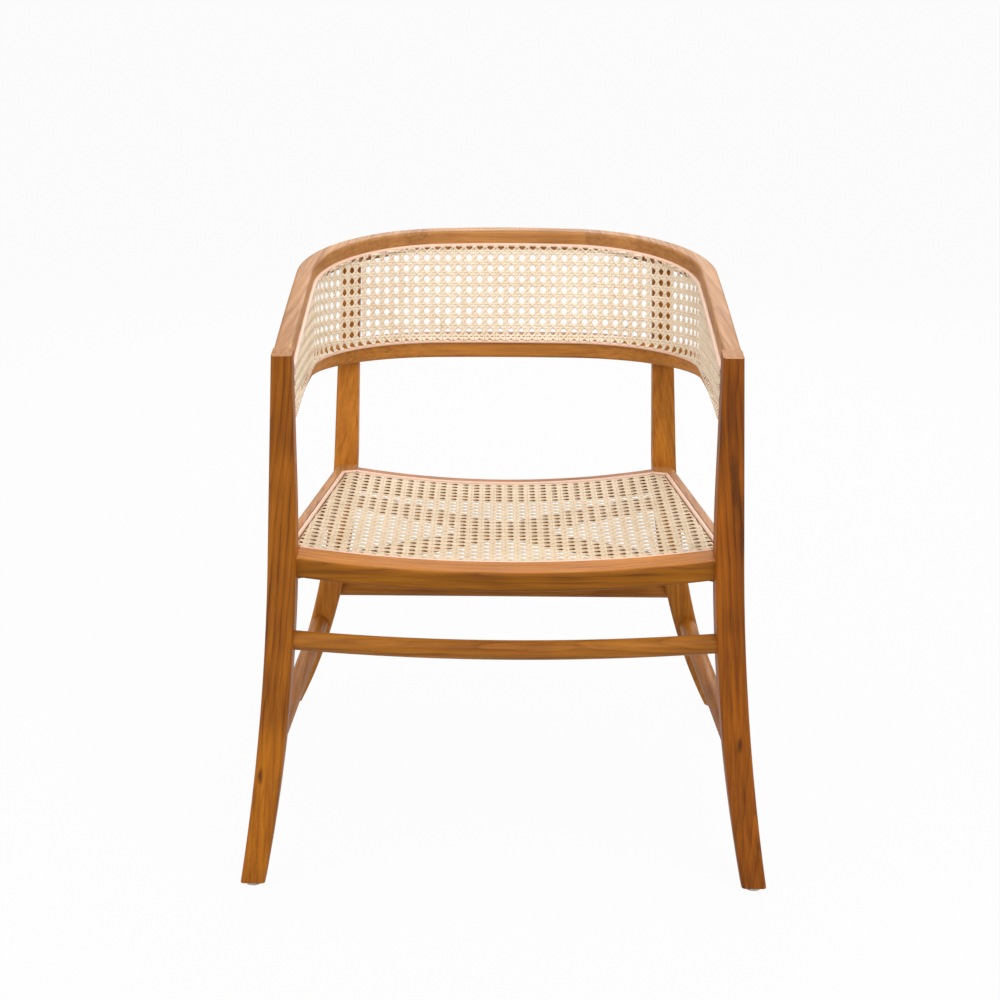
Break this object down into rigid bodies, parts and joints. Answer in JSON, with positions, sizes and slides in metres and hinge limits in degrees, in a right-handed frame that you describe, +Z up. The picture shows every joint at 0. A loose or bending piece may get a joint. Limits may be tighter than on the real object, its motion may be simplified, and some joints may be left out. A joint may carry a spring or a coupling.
{
  "type": "cane dining armchair",
  "caption": "Teak dining armchair with curved splayed legs, a bent barrel back that runs into the arms, a woven cane back panel, a dished cane seat and round stretchers.",
  "frame": {"origin": "on the floor, at the centre of the box round the four feet", "axes": "+Z up, -Y towards the front of the chair, +X to the right of a viewer who faces the front"},
  "size_m": [0.684, 0.601, 0.752],
  "materials": {
    "teak": "oiled teak, satin",
    "cane": "woven cane, matte to satin",
    "spline": "pale reed, satin",
    "dowel": "plain hardwood",
    "screw": "plain",
    "glide": "matte"
  },
  "bodies": {
    "root": {"front_leg_right": "teak", "front_leg_left": "teak", "rear_leg_right": "teak", "rear_leg_left": "teak", "crest_rail": "teak", "arm_rail_right": "teak", "arm_rail_left": "teak", "lower_back_rail": "teak", "lower_side_rail_right": "teak", "lower_side_rail_left": "teak", "seat_front_rail": "teak", "seat_rear_rail": "teak", "seat_side_rail_right": "teak", "seat_side_rail_left": "teak", "seat_brace_right": "teak", "seat_brace_left": "teak", "front_stretcher": "teak", "rear_stretcher": "teak", "side_stretcher_right": "teak", "side_stretcher_left": "teak", "seat_cane": "cane", "back_cane": "cane", "seat_spline": "spline", "back_spline_upper": "spline", "back_spline_lower": "spline", "arm_dowels": "dowel", "crest_dowels": "dowel", "rear_leg_dowels": "dowel", "brace_screws": "screw", "foot_glides": "glide"}
  },
  "joints": []
}
